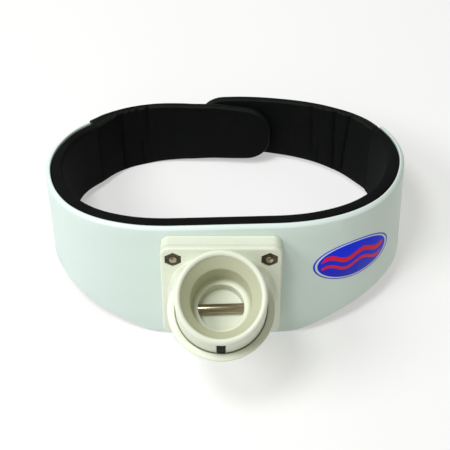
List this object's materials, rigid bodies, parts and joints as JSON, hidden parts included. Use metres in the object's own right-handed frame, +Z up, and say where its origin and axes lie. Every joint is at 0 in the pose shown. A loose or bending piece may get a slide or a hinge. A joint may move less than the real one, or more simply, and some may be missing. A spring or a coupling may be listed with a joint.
{
  "type": "fishing fighting belt",
  "caption": "Rigid wrap fighting belt with a foam liner, padded straps closed at the back and a tilted gimbal cup that takes a rod butt.",
  "frame": {"origin": "centre of the bounding box at its lowest level, on the surface that the belt stands on", "axes": "+X across the belt to the viewer's right, its longest extent; +Y from the cup at the front to the straps at the back; +Z up. The loop leans back by about 20 degrees, as it stands on its lower edges."},
  "size_m": [0.3154, 0.2788, 0.1516],
  "materials": {
    "shell_plastic": "satin white sheet plastic with a faint cool tint",
    "moulded_plastic": "off-white moulded plastic, soft sheen",
    "foam": "black closed-cell foam",
    "padded_cloth": "black padded cloth with a welted edge",
    "hook_and_loop": "black hook and loop tape",
    "black_plastic": "black plastic",
    "pin_steel": "turned stainless steel",
    "nut_steel": "stainless steel nut"
  },
  "bodies": {
    "root": {"shell": "shell_plastic", "foam_liner": "foam", "strap_left": "padded_cloth", "strap_right": "padded_cloth", "hook_and_loop_patch": "hook_and_loop", "gimbal_housing": "moulded_plastic", "gimbal_cup": "moulded_plastic", "cup_key": "black_plastic", "cross_pin": "pin_steel", "nut_left": "nut_steel", "nut_right": "nut_steel", "bolt_left": "pin_steel", "bolt_right": "pin_steel"}
  },
  "joints": []
}
